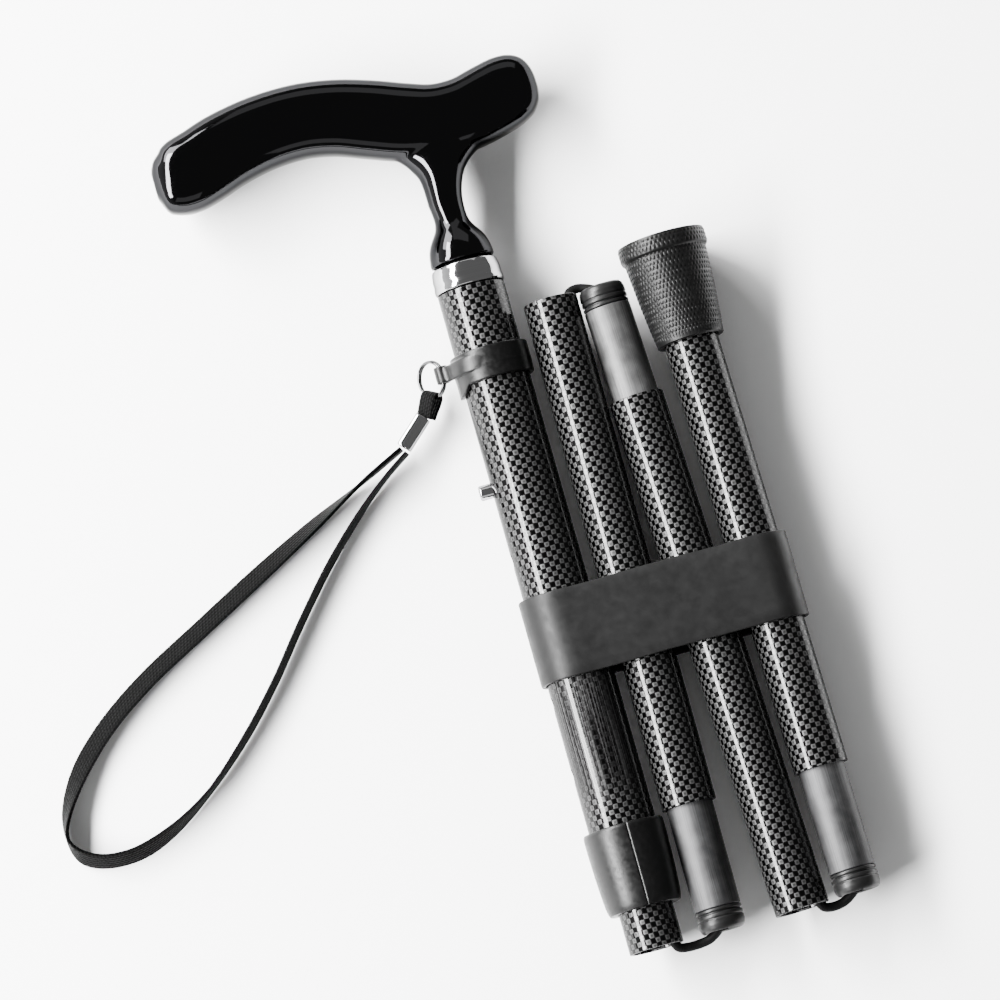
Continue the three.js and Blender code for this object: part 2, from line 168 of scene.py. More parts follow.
def add_lights():
    """A strip from the left draws the long highlights. The sky is bright low on the left and dark
    overhead and on the right, so that black faces stay black away from the highlights. Two low soft
    lights beyond the ends of the tubes lighten the shadows."""
    key = -RIGHT * math.sin(math.radians(50)) + UP * math.cos(math.radians(50))
    softbox("key_strip", key, 1.5, 0.36, 2.2, 330)
    behind = -RIGHT * math.sin(math.radians(58)) + UP * math.cos(math.radians(58)) + 0.7 * AHEAD
    softbox("back_left", behind, 2.4, 1.0, 1.4, 150)
    for side in (1, -1):
        low = side * 0.85 * AHEAD + 0.5 * UP
        softbox("fill_ahead" if side > 0 else "fill_behind", low, 3.0, 2.4, 1.2, 12)
    world = bpy.data.worlds.new("studio")
    bpy.context.scene.world = world
    world.use_nodes = True
    tree = world.node_tree
    background = tree.nodes["Background"]
    place = tree.nodes.new("ShaderNodeTexCoord")
    toward = tree.nodes.new("ShaderNodeVectorMath")
    toward.operation = "DOT_PRODUCT"
    toward.inputs[1].default_value = -0.75 * RIGHT - 0.66 * UP
    dome = tree.nodes.new("ShaderNodeValToRGB")
    tree.links.new(place.outputs["Generated"], toward.inputs[0])
    tree.links.new(toward.outputs["Value"], dome.inputs["Fac"])
    tree.links.new(dome.outputs["Color"], background.inputs["Color"])
    dark, bright = dome.color_ramp.elements
    dark.position, dark.color = 0.0, (0.12, 0.12, 0.12, 1)
    bright.position, bright.color = 0.75, (1, 1, 1, 1)
    background.inputs["Strength"].default_value = 2.0


# ---- node helpers ------------------------------------------------------------------------------

class Nodes:
    """A material's node tree with short calls for the nodes used here."""

    def __init__(self, name, **values):
        self.material = bpy.data.materials.new(name)
        self.material.use_nodes = True
        self.tree = self.material.node_tree
        self.shader = self.tree.nodes["Principled BSDF"]
        for socket, value in values.items():
            self.shader.inputs[socket.replace("_", " ")].default_value = value

    def link(self, source, target):
        self.tree.links.new(source, target)

    def feed(self, socket, value):
        if isinstance(value, (int, float, tuple)):
            socket.default_value = value
        else:
            self.link(value, socket)

    def coordinates(self, output="Object"):
        return self.tree.nodes.new("ShaderNodeTexCoord").outputs[output]

    def split(self, vector):
        node = self.tree.nodes.new("ShaderNodeSeparateXYZ")
        self.link(vector, node.inputs[0])
        return node.outputs

    def vector(self, x, y, z):
        node = self.tree.nodes.new("ShaderNodeCombineXYZ")
        for socket, value in zip(node.inputs, (x, y, z)):
            self.feed(socket, value)
        return node.outputs[0]

    def math(self, operation, *values):
        node = self.tree.nodes.new("ShaderNodeMath")
        node.operation = operation
        for socket, value in zip(node.inputs, values):
            self.feed(socket, value)
        return node.outputs[0]

    def product(self, a, b):
        node = self.tree.nodes.new("ShaderNodeVectorMath")
        node.operation = "MULTIPLY"
        self.link(a, node.inputs[0])
        self.link(b, node.inputs[1])
        return node.outputs[0]

    def noise(self, vector, scale, detail=3.0, roughness=0.55):
        node = self.tree.nodes.new("ShaderNodeTexNoise")
        node.inputs["Scale"].default_value = scale
        node.inputs["Detail"].default_value = detail
        node.inputs["Roughness"].default_value = roughness
        self.link(vector, node.inputs["Vector"])
        return node.outputs["Fac"]

    def ramp(self, factor, *stops):
        """stops are (position, grey or colour)."""
        node = self.tree.nodes.new("ShaderNodeValToRGB")
        self.feed(node.inputs["Fac"], factor)
        elements = node.color_ramp.elements
        while len(elements) < len(stops):
            elements.new(0.5)
        for element, (position, colour) in zip(elements, stops):
            element.position = position
            grey = isinstance(colour, (int, float))
            element.color = (colour, colour, colour, 1) if grey else (*colour, 1)
        return node.outputs["Color"]

    def mix(self, factor, a, b):
        node = self.tree.nodes.new("ShaderNodeMix")
        node.data_type = "RGBA"
        self.feed(node.inputs[0], factor)
        for socket, value in ((node.inputs[6], a), (node.inputs[7], b)):
            self.feed(socket, (*value, 1) if isinstance(value, tuple) else value)
        return node.outputs[2]

    def bump(self, height, strength, distance, normal=None):
        node = self.tree.nodes.new("ShaderNodeBump")
        node.inputs["Strength"].default_value = strength
        node.inputs["Distance"].default_value = distance
        self.link(height, node.inputs["Height"])
        if normal:
            self.link(normal, node.inputs["Normal"])
        return node.outputs["Normal"]

    def set(self, socket, value):
        self.link(value, self.shader.inputs[socket])

    def around(self):
        """Turns round the Y axis (0 to 1) and the height along it, in metres."""
        x, y, z = self.split(self.coordinates())
        angle = self.math("ARCTAN2", x, z)
        return self.math("DIVIDE", self.math("ADD", angle, math.pi), TAU), y


# ---- materials ---------------------------------------------------------------------------------

def carbon_tube(name, radius, streaks=False):
    """Clear-coated tube with a checkered weave of grey and black squares. With streaks the weave is
    drawn out lengthwise on the left side and in a stretch lower down."""
    cell = WEAVE_CELL * MM
    cells_round = 2 * round(TAU * radius * MM / cell / 2)
    n = Nodes(name, Metallic=0.7, Coat_Weight=0.36, Coat_Roughness=0.03, Specular_IOR_Level=0.04,
              Specular_Tint=(0.3, 0.3, 0.3, 1))
    turn, height = n.around()
    sway = n.math("MULTIPLY", n.math("SUBTRACT", n.noise(n.coordinates(), 170, 2), 0.5), 0.5)
    rock = n.math("MULTIPLY", n.math("SUBTRACT", n.noise(n.coordinates(), 320, 1), 0.5), 0.5)
    u = n.math("ADD", n.math("MULTIPLY", turn, cells_round), sway)
    v = n.math("ADD", n.math("DIVIDE", height, cell), rock)
    checks = n.math("ADD", n.math("FLOOR", u), n.math("FLOOR", v))
    parity = n.math("ABSOLUTE", n.math("MODULO", checks, 2))
    off_u = n.math("ABSOLUTE", n.math("SUBTRACT", n.math("FRACT", u), 0.5))
    off_v = n.math("ABSOLUTE", n.math("SUBTRACT", n.math("FRACT", v), 0.5))
    edge = n.math("MULTIPLY", n.math("SMOOTH_MAX", off_u, off_v, 0.22), 2)
    light = n.ramp(edge, (0.0, 0.02), (0.35, 0.027), (0.7, 0.056), (0.92, 0.027), (1.0, 0.004))
    dark = n.ramp(edge, (0.0, 0.0001), (0.72, 0.0002), (0.88, 0.0015), (1.0, 0.005))
    weave = n.mix(parity, dark, light)
    if streaks:
        drawn_out = n.vector(n.math("MULTIPLY", turn, 95), n.math("MULTIPLY", height, 14), 0.0)
        lines = n.noise(drawn_out, 1.4, 3, 0.6)
        grain = n.ramp(lines, (0.42, 0.0002), (0.5, 0.006), (0.6, 0.04))
        low_down = n.ramp(n.math("ABSOLUTE", n.math("ADD", height, 0.160)), (0.014, 0.85), (0.025, 0.0))
        left = n.ramp(n.math("ABSOLUTE", n.math("SUBTRACT", turn, 0.27)), (0.035, 1.0), (0.06, 0.0))
        weave = n.mix(n.math("MAXIMUM", low_down, left), weave, grain)
    tone = n.math("ADD", 0.55, n.math("MULTIPLY", n.noise(n.coordinates(), 700, 3), 0.8))
    shade = n.vector(tone, tone, tone)
    n.set("Base Color", n.product(weave, shade))
    n.set("Roughness", n.ramp(edge, (0.0, 0.36), (1.0, 0.52)))
    crown = n.math("SUBTRACT", 1, n.math("POWER", edge, 3))
    n.set("Normal", n.bump(crown, 0.4, 0.00014))
    return n.material


def gloss_black():
    """Polished black lacquer with a faint ripple and hairline scratches. A near-black metal with a
    dark edge tint keeps its rim from turning white where it mirrors the floor."""
    n = Nodes("handle_gloss_black", Base_Color=(0.021, 0.021, 0.022, 1), Metallic=1.0,
              Specular_Tint=(0.5, 0.5, 0.5, 1))
    place = n.coordinates()
    x, y, z = n.split(place)
    hair = n.noise(n.vector(n.math("MULTIPLY", x, 0.25), y, z), 2600, 2)
    n.set("Roughness", n.ramp(hair, (0.45, 0.04), (0.62, 0.09)))
    n.set("Normal", n.bump(n.noise(place, 70, 1), 0.05, 0.0006))
    return n.material


def plated(name, tone):
    """Plated metal with faint polishing marks and dark edges."""
    tint = (tone, tone, 1.01 * tone)
    n = Nodes(name, Metallic=1.0, Specular_Tint=(0.25, 0.25, 0.25, 1))
    turn, height = n.around()
    streak = n.noise(n.vector(n.math("MULTIPLY", turn, 0.6), n.math("MULTIPLY", height, 900), 0.0), 4, 4)
    n.set("Base Color", n.ramp(streak, (0.3, tuple(0.92 * c for c in tint)), (0.7, tint)))
    n.set("Roughness", n.ramp(streak, (0.3, 0.04), (0.75, 0.12)))
    return n.material


def coupler_metal(name, tone):
    """Satin drawn metal: fine streaks run along the sleeve."""
    n = Nodes(name, Metallic=0.85, Specular_IOR_Level=0.3)
    turn, height = n.around()
    along = n.vector(n.math("MULTIPLY", turn, 150), n.math("MULTIPLY", height, 22), 0.0)
    streak = n.noise(along, 1.6, 5, 0.6)
    cloud = n.noise(n.coordinates(), 75, 4, 0.6)
    both = n.math("MULTIPLY", streak, cloud)
    low, high = tuple(0.4 * c for c in tone), tuple(1.5 * c for c in tone)
    n.set("Base Color", n.ramp(both, (0.12, low), (0.42, high)))
    n.set("Roughness", n.ramp(cloud, (0.3, 0.44), (0.75, 0.62)))
    n.set("Normal", n.bump(streak, 0.5, 0.0001))
    return n.material


def black_plastic(name, grey, rough):
    """Moulded satin plastic with a fine grain and slight rubbing on its surface."""
    n = Nodes(name, Specular_IOR_Level=0.2)
    place = n.coordinates()
    wear = n.noise(place, 180, 4)
    n.set("Base Color", n.ramp(wear, (0.3, 0.7 * grey), (0.72, 1.35 * grey)))
    n.set("Roughness", n.ramp(n.noise(place, 600, 3), (0.3, rough - 0.06), (0.7, rough + 0.1)))
    n.set("Normal", n.bump(n.noise(place, 2400, 3), 0.15, 0.00008))
    return n.material


def rubber(name, grey, rough, speck=0.0):
    """Soft rubber with a dusty bloom."""
    n = Nodes(name, Specular_IOR_Level=0.13)
    place = n.coordinates()
    bloom = n.noise(place, 55, 5, 0.62)
    n.set("Base Color", n.ramp(bloom, (0.25, 0.78 * grey), (0.8, 1.3 * grey)))
    n.set("Roughness", n.ramp(n.noise(place, 300, 4), (0.3, rough - 0.08), (0.7, rough + 0.08)))
    fine = n.bump(n.noise(place, 3000, 3), 0.12, 0.00008)
    n.set("Normal", n.bump(n.noise(place, 210, 4), 0.1 + speck, 0.0002, fine))
    return n.material


def webbing():
    """Ribbed woven tape. U is metres along the tape and V is metres across it."""
    grey = 0.0004
    rib = TAPE_RIB * MM
    n = Nodes("webbing", Roughness=0.6, Specular_IOR_Level=0.025)
    u, v, _ = n.split(n.coordinates("UV"))
    across = n.math("DIVIDE", v, rib)
    row = n.math("MODULO", n.math("ABSOLUTE", n.math("FLOOR", across)), 2)
    along = n.math("ADD", n.math("DIVIDE", u, rib * 1.25), n.math("MULTIPLY", row, 0.5))
    hump_u = n.math("ABSOLUTE", n.math("SINE", n.math("MULTIPLY", along, math.pi)))
    hump_v = n.math("ABSOLUTE", n.math("SINE", n.math("MULTIPLY", across, math.pi)))
    yarn = n.math("MULTIPLY", hump_u, hump_v)
    fuzz = n.noise(n.coordinates(), 2200, 3)
    n.set("Base Color", n.ramp(n.math("MULTIPLY", yarn, fuzz), (0.0, 0.35 * grey), (0.45, 2.6 * grey)))
    n.set("Normal", n.bump(fuzz, 0.25, 0.0001, n.bump(yarn, 0.9, 0.00035)))
    return n.material


def braided_cord():
    """Black braided elastic."""
    n = Nodes("braided_cord", Roughness=0.6, Specular_IOR_Level=0.05)
    u, v, _ = n.split(n.coordinates("UV"))
    along = n.math("MULTIPLY", u, 900)
    waves = []
    for operation in ("ADD", "SUBTRACT"):
        strand = n.math(operation, along, v)
        waves.append(n.math("SINE", n.math("MULTIPLY", strand, math.pi * 1.6)))
    plait = n.math("MULTIPLY", n.math("MULTIPLY", *waves), 0.5)
    n.set("Base Color", n.ramp(n.math("ADD", plait, 0.5), (0.1, 0.0003), (0.9, 0.0025)))
    n.set("Normal", n.bump(plait, 0.5, 0.0002))
    return n.material


def hidden_steel():
    n = Nodes("plain_steel", Metallic=1.0)
    place = n.coordinates()
    n.set("Base Color", n.ramp(n.noise(place, 240, 4), (0.3, 0.36), (0.7, 0.52)))
    n.set("Roughness", n.ramp(n.noise(place, 900, 3), (0.3, 0.28), (0.7, 0.42)))
    return n.material


def floor_white():
    n = Nodes("studio_floor", Roughness=0.62, Specular_IOR_Level=0.25)
    n.set("Base Color", n.ramp(n.noise(n.coordinates(), 6, 2), (0.2, 0.9), (0.8, 0.93)))
    return n.material


MATERIALS = {
    "outer_weave": carbon_tube("outer_weave", OUTER_R, streaks=True),
    "tube_weave": carbon_tube("tube_weave", TUBE_R),
    "gloss_black": gloss_black(),
    "chrome": plated("chrome", 0.4),
    "ring_wire": plated("ring_wire", 0.1),
    "coupler_dark": coupler_metal("coupler_dark", (0.048, 0.048, 0.049)),
    "coupler_light": coupler_metal("coupler_light", (0.075, 0.075, 0.075)),
    "cap_plastic": black_plastic("cap_plastic", 0.004, 0.36),
    "collar_plastic": black_plastic("collar_plastic", 0.001, 0.36),
    "clip_plastic": black_plastic("clip_plastic", 0.001, 0.34),
    "hidden_plastic": black_plastic("hidden_plastic", 0.03, 0.45),
    "ferrule_rubber": rubber("ferrule_rubber", 0.0022, 0.4),
    "band_rubber": rubber("band_rubber", 0.0042, 0.45, 0.1),
    "webbing": webbing(),
    "braided_cord": braided_cord(),
    "steel": hidden_steel(),
}


# ---- mesh helpers ------------------------------------------------------------------------------

def rounded(outline, radius, steps=4):
    """The outline with each inner corner rounded by an arc of about this radius."""
    result = [outline[0]]
    for before, corner, after in zip(outline, outline[1:], outline[2:]):
        before, corner, after = Vector(before), Vector(corner), Vector(after)
        into, out = corner - before, after - corner
        reach = min(radius, 0.45 * into.length, 0.45 * out.length)
        start = corner - into.normalized() * reach
        end = corner + out.normalized() * reach
        for step in range(steps + 1):
            t = step / steps
            point = (1 - t) ** 2 * start + 2 * t * (1 - t) * corner + t * t * end
            result.append((point.x, point.y))
    result.append(outline[-1])
    return result


def placed_mesh(name, vertices, faces, where):
    """A mesh in millimetres, drawn in the frame called where."""
    data = bpy.data.meshes.new(name)
    data.from_pydata([tuple(c * MM for c in v) for v in vertices], [], faces)
    obj = bpy.data.objects.new(name, data)
    bpy.context.collection.objects.link(obj)
    obj.matrix_world = where
    return obj


def mesh_object(name, vertices, faces, where, material=None):
    """A placed mesh, smooth except across sharp edges."""
    obj = placed_mesh(name, vertices, faces, where)
    if material:
        obj.data.materials.append(MATERIALS[material])
    clean(obj, SHARP)
    return obj


def clean(obj, sharp):
    """Merges doubled points, turns the faces outwards and marks the sharp edges."""
    body = bmesh.new()
    body.from_mesh(obj.data)
    bmesh.ops.remove_doubles(body, verts=body.verts, dist=1e-7)
    bmesh.ops.dissolve_degenerate(body, edges=body.edges, dist=1e-8)
    bmesh.ops.recalc_face_normals(body, faces=body.faces)
    for face in body.faces:
        face.smooth = True
    for edge in body.edges:
        edge.smooth = len(edge.link_faces) != 2 or edge.calc_face_angle(0) < sharp
    body.to_mesh(obj.data)
    body.free()


def grid_faces(rows, columns, around):
    """Quads between rows of points. around closes each row on itself."""
    faces = []
    for row in range(rows - 1):
        for column in range(columns if around else columns - 1):
            right = (column + 1) % columns
            faces.append((row * columns + column, row * columns + right,
                          (row + 1) * columns + right, (row + 1) * columns + column))
    return faces


def turned(name, outline, where, material, sides=SIDES, shift=None):
    """Turns an outline of (radius, y) points about Y. shift(angle, radius, y) moves a point out."""
    vertices = []
    for radius, y in outline:
        for side in range(sides):
            angle = TAU * side / sides
            r = radius + (shift(angle, radius, y) if shift else 0)
            vertices.append((r * math.sin(angle), y, r * math.cos(angle)))
    return mesh_object(name, vertices, grid_faces(len(outline), sides, True), where, material)


def ring_outline(bore, radius, low, high, edge):
    corners = [(radius, (low + high) / 2), (radius, high), (bore, high), (bore, low), (radius, low)]
    return rounded(corners + [corners[0]], edge)


def smooth_path(points, per_span):
    """Centripetal Catmull-Rom curve through points."""
    points = [Vector(p) for p in points]
    ghosts = [2 * points[0] - points[1]] + points + [2 * points[-1] - points[-2]]
    path = []
    for p0, p1, p2, p3 in zip(ghosts, ghosts[1:], ghosts[2:], ghosts[3:]):
        t0 = 0.0
        t1 = t0 + math.sqrt((p1 - p0).length)
        t2 = t1 + math.sqrt((p2 - p1).length)
        t3 = t2 + math.sqrt((p3 - p2).length)
        for step in range(per_span):
            t = t1 + (t2 - t1) * step / per_span
            a1 = p0 * ((t1 - t) / (t1 - t0)) + p1 * ((t - t0) / (t1 - t0))
            a2 = p1 * ((t2 - t) / (t2 - t1)) + p2 * ((t - t1) / (t2 - t1))
            a3 = p2 * ((t3 - t) / (t3 - t2)) + p3 * ((t - t2) / (t3 - t2))
            b1 = a1 * ((t2 - t) / (t2 - t0)) + a2 * ((t - t0) / (t2 - t0))
            b2 = a2 * ((t3 - t) / (t3 - t1)) + a3 * ((t - t1) / (t3 - t1))
            path.append(b1 * ((t2 - t) / (t2 - t1)) + b2 * ((t - t1) / (t2 - t1)))
    path.append(points[-1])
    return path


def directions(path):
    ahead = [b - a for a, b in zip(path, path[1:])]
    ahead.append(ahead[-1])
    behind = [ahead[0]] + ahead[:-1]
    return [(a + b).normalized() for a, b in zip(ahead, behind)]


def swept(name, path, section, where, material, roll=None, side_hint=Vector((0, 0, 1))):
    """Sweeps a closed section, a list of (x, y), along a path. The section's x follows side_hint,
    turned by roll(fraction) about the path. Both ends are closed."""
    vertices, uvs = [], []
    run = 0.0
    previous = path[0]
    around = [0.0]
    for a, b in zip(section, section[1:] + section[:1]):
        around.append(around[-1] + math.dist(a, b))
    for index, (point, ahead) in enumerate(zip(path, directions(path))):
        run += (point - previous).length
        previous = point
        x_axis = (side_hint - side_hint.dot(ahead) * ahead).normalized()
        if roll:
            x_axis = Matrix.Rotation(roll(index / (len(path) - 1)), 3, ahead) @ x_axis
        y_axis = ahead.cross(x_axis)
        vertices += [point + x * x_axis + y * y_axis for x, y in section]
        uvs.append(run * MM)
    count = len(section)
    faces = grid_faces(len(path), count, True)
    faces += [tuple(range(count)), tuple(range(len(vertices) - count, len(vertices)))]
    obj = placed_mesh(name, vertices, faces, where)
    data = obj.data
    layer = data.uv_layers.new(name="tape")
    for polygon in data.polygons:
        corners = [data.loops[i].vertex_index for i in polygon.loop_indices]
        wraps = {c % count for c in corners} == {0, count - 1}
        for loop, corner in zip(polygon.loop_indices, corners):
            place = around[-1] if wraps and corner % count == 0 else around[corner % count]
            layer.data[loop].uv = (uvs[corner // count], place * MM)
    data.materials.append(MATERIALS[material])
    clean(obj, math.radians(50))
    return obj


def circle(radius, count):
    angles = [TAU * i / count for i in range(count)]
    return [(radius * math.cos(angle), radius * math.sin(angle)) for angle in angles]


def apply_modifiers(obj):
    bpy.context.view_layer.update()
    graph = bpy.context.evaluated_depsgraph_get()
    data = bpy.data.meshes.new_from_object(obj.evaluated_get(graph))
    old = obj.data
    obj.modifiers.clear()
    obj.data = data
    data.name = obj.name
    bpy.data.meshes.remove(old)


def fused(obj, voxel, smoothing):
    """Turns overlapping closed shells into one smooth skin."""
    remesh = obj.modifiers.new("skin", "REMESH")
    remesh.mode = "VOXEL"
    remesh.voxel_size = voxel * MM
    remesh.use_smooth_shade = True
    smooth = obj.modifiers.new("soften", "SMOOTH")
    smooth.factor = 0.5
    smooth.iterations = smoothing
    apply_modifiers(obj)


def join_into(name, objects):
    """One object made of several, in the first one's frame."""
    with bpy.context.temp_override(active_object=objects[0], selected_editable_objects=objects):
        bpy.ops.object.join()
    objects[0].name = name
    return objects[0]


def drilled(obj, cutters):
    """Cuts the cutters out of obj and removes them."""
    for cutter in cutters:
        cut = obj.modifiers.new("drill", "BOOLEAN")
        cut.operation = "DIFFERENCE"
        cut.solver = "EXACT"
        cut.object = cutter
    apply_modifiers(obj)
    for cutter in cutters:
        bpy.data.objects.remove(cutter)
    clean(obj, SHARP)


def stands_for(obj, body, node):
    """obj rides on a body and replaces a CAD node, which is hidden."""
    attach(obj, body)
    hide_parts(node)


# ---- handle ------------------------------------------------------------------------------------

# Stations along the grip: middle (x, y), half width, half thickness.
GRIP = [
    (-94.9, 63.6, 4.8, 4.2), (-92.8, 63.6, 9, 8), (-89.5, 63.5, 11.7, 10.2), (-84.5, 64.1, 13.2, 11.3),
    (-77, 66.1, 13.4, 11.6), (-68.7, 68.9, 13.3, 11.7), (-55, 71.6, 13, 11.7), (-41, 72, 12.9, 11.6),
    (-29, 70, 13.1, 11.5), (-17.5, 66.2, 13.5, 11.4), (-6.5, 62.2, 13.4, 11.2), (4, 59.7, 12.7, 11),
    (14.5, 59.4, 12.8, 10.8), (24.5, 61.6, 12.9, 10.7), (31.5, 63.4, 12.4, 10.4), (36.6, 64.2, 10.6, 9.2),
    (39.7, 64.5, 7.4, 6.4), (41.1, 64.6, 3.4, 3),
]
# Stations down the neck and bell: y, middle x, half width, half thickness.
NECK = [
    (60, 0, 22, 8), (54.5, 1, 20.5, 8), (50.5, 3, 16.5, 8.4), (48, 3.6, 14.4, 8.8), (45, 2.3, 11, 8.5),
    (41.5, 1.4, 8.3, 7.8), (37, 0.5, 6.9, 7.1), (31, -0.2, 6.1, 6.6), (26.5, 0, 5.8, 6.5), (24, 0, 6, 6.8),
    (22, 0, 6.8, 7.5), (20, 0, 8.2, 8.6), (17.4, 0, 9.8, 9.8), (14.8, 0, 10.7, 10.7), (12, 0, 11.15, 11.15),
    (9.4, 0, 11.3, 11.3),
]


def oval(half_width, half_height, power, count):
    """A rounded rectangle between an ellipse (power 2) and a box."""
    points = []
    for i in range(count):
        c, s = math.cos(TAU * i / count), math.sin(TAU * i / count)
        points.append((half_width * math.copysign(abs(c) ** (2 / power), c),
                       half_height * math.copysign(abs(s) ** (2 / power), s)))
    return points


def lofted(name, stations, power, where):
    """stations are (middle, across direction, half width, half thickness)."""
    count = 48
    vertices = []
    for middle, across, half_width, half_thickness in stations:
        for x, z in oval(half_width, half_thickness, power, count):
            vertices.append(middle + x * across + Vector((0, 0, z)))
    faces = grid_faces(len(stations), count, True)
    faces += [tuple(range(count)), tuple(range(len(vertices) - count, len(vertices)))]
    return mesh_object(name, vertices, faces, where)


def spread(rows, per_span):
    """Rows of four numbers, filled in smoothly between the given ones."""
    a = smooth_path([row[:3] for row in rows], per_span)
    b = smooth_path([(row[0], row[1], row[3]) for row in rows], per_span)
    return [(p.x, p.y, p.z, q.z) for p, q in zip(a, b)]


def handle():
    rows = spread(GRIP, 6)
    middles = [Vector((x, y, 0)) for x, y, _, _ in rows]
    across = [Vector((-d.y, d.x, 0)) for d in directions(middles)]
    stations = [(m, a, row[2], row[3]) for m, a, row in zip(middles, across, rows)]
    grip = lofted("grip", stations, 2.8, UPPER)
    sideways = Vector((1, 0, 0))
    neck_rows = spread(NECK, 6)
    stations = [(Vector((x, y, 0)), sideways, w, t) for y, x, w, t in neck_rows]
    neck = lofted("neck", stations, 2.0, UPPER)
    body = join_into("handle_body", [grip, neck])
    fused(body, 0.62, 26)
    body.data.materials.clear()
    body.data.materials.append(MATERIALS["gloss_black"])
    for polygon in body.data.polygons:
        polygon.use_smooth = True
    stands_for(body, "upper_section", "handle")


def handle_ring():
    outline = rounded([
        (7.9, 0.35), (11.75, 0.35), (12.15, 0.9), (12.2, 1.9), (11.95, 3.4), (11.95, 5.6), (11.7, 7.2),
        (11.35, 8.75), (7.9, 8.75), (7.9, 0.35),
    ], 0.5, 5)
    ring = turned("ferrule_ring_chrome", outline, UPPER, "chrome")
    stands_for(ring, "upper_section", "handle_ring")


# ---- upper section -----------------------------------------------------------------------------

def outer_tube():
    outline = ring_outline(OUTER_BORE, OUTER_R, -OUTER_LENGTH, 0, 0.35)
    skin = turned("outer_tube_skin", outline, UPPER, "outer_weave")
    cutters = []
    for hole in range(HOLE_COUNT):
        y = FIRST_HOLE - hole * HOLE_PITCH
        hole_r, inside, outside = BUTTON_R + GAP, 6, OUTER_R + 3
        drill = [(0, inside), (hole_r, inside), (hole_r, outside), (0, outside)]
        where = UPPER @ Matrix.Translation((0, y * MM, 0)) @ Matrix.Rotation(math.pi / 2, 4, "Z")
        cutters.append(turned(f"drill_{hole}", drill, where, "outer_weave", 40))
    drilled(skin, cutters)
    stands_for(skin, "upper_section", "upper_outer_tube")


def locking_collar():
    seam_angle = math.radians(4)

    def seam(angle, radius, y):
        if radius < 12.1:
            return 0
        gaps = [abs((angle - seam_angle - half + math.pi) % TAU - math.pi) for half in (0, math.pi)]
        return -0.28 * math.exp(-(min(gaps) / 0.016) ** 2)

    outside = smooth_path([
        (12.35, -220.3, 0), (12.9, -218.5, 0), (13.35, -214, 0), (13.72, -207, 0), (13.93, -200, 0),
        (14.0, -194.5, 0), (13.95, -192.6, 0),
    ], 6)
    outline = [(12.0, -192.2), (12.0, -216.9), (9.8, -217.1), (9.8, -220.4), (11.9, -220.5)]
    outline += [(p.x, p.y) for p in outside]
    outline += [(13.8, -192.0), (13.5, -191.6), (12.9, -191.5), (12.2, -191.6), (12.0, -192.2)]
    collar = turned("collar_shell", outline, UPPER, "collar_plastic", 360, seam)
    stands_for(collar, "locking_collar", "locking_collar")


def strap_clip():
    """Ring, arm, barrel and hook tab, fused like one moulding."""
    outline = rounded([
        (12.0, -27.5), (12.0, -33), (13.45, -33), (13.6, -28.4), (13.75, -28.1), (13.6, -27.8),
        (13.6, -22), (12.0, -22), (12.0, -27.5),
    ], 0.35)
    ring = turned("clip_ring", outline, UPPER, "clip_plastic")
    wrap = [(2, 12.3), (-3, 12.4), (-7.4, 11.1), (-10.8, 8.7), (-13, 5.8), (-14.4, 3.2), (-16, 2),
            (-17.5, 1.5)]
    arm_path = smooth_path([(x, BARREL_Y - 0.4, z) for x, z in wrap], 4)
    along = Vector((0, 1, 0))
    arm = swept("clip_arm", arm_path, oval(2.8, 0.85, 4, 24), UPPER, "clip_plastic", side_hint=along)
    barrel_outline = rounded([
        (1.45, BARREL_Y), (1.45, BARREL_Y - 3), (2.5, BARREL_Y - 3), (2.5, BARREL_Y + 3),
        (1.45, BARREL_Y + 3), (1.45, BARREL_Y),
    ], 0.4)
    shifted = UPPER @ Matrix.Translation((BARREL_X * MM, 0, 0))
    barrel = turned("clip_barrel", barrel_outline, shifted, "clip_plastic", 48)
    hook = curved_plate("clip_hook", 12.05, 13.5, math.radians(-128), math.radians(-46), -31, -36.2)
    eye_r, low, high = 1.35, BARREL_Y - 8, BARREL_Y + 8
    eye_outline = [(0, low), (eye_r, low), (eye_r, high), (0, high)]
    eye = turned("clip_eye", eye_outline, shifted, "clip_plastic", 32)
    clip = join_into("clip_moulding", [ring, arm, barrel, hook])
    fused(clip, 0.28, 8)
    drilled(clip, [eye])
    clip.data.materials.clear()
    clip.data.materials.append(MATERIALS["clip_plastic"])
    stands_for(clip, "upper_section", "strap_clip")


def curved_plate(name, bore, radius, from_angle, to_angle, top, foot):
    """Part of a pipe's wall. Its lower edge is rounded like a tongue."""
    steps = 24
    middle, half = (from_angle + to_angle) / 2, (to_angle - from_angle) / 2
    vertices = []
    for i in range(steps + 1):
        share = 2 * i / steps - 1
        angle = middle + half * share
        low = top + (foot - top) * math.sqrt(1 - 0.9 * share * share)
        for r, y in ((bore, low), (radius, low), (radius, top), (bore, top)):
            vertices.append((r * math.sin(angle), y, r * math.cos(angle)))
    faces = grid_faces(steps + 1, 4, True) + [(0, 1, 2, 3), tuple(range(4 * steps, 4 * steps + 4))]
    return mesh_object(name, vertices, faces, UPPER)


def inner_tube():
    outline = ring_outline(TUBE_BORE, TUBE_R, MOUTH_Y + END_GAP, INNER_TOP, 0.35)
    skin = turned("inner_tube_skin", outline, UPPER, "tube_weave")
    stands_for(skin, "inner_section", "upper_inner_tube")


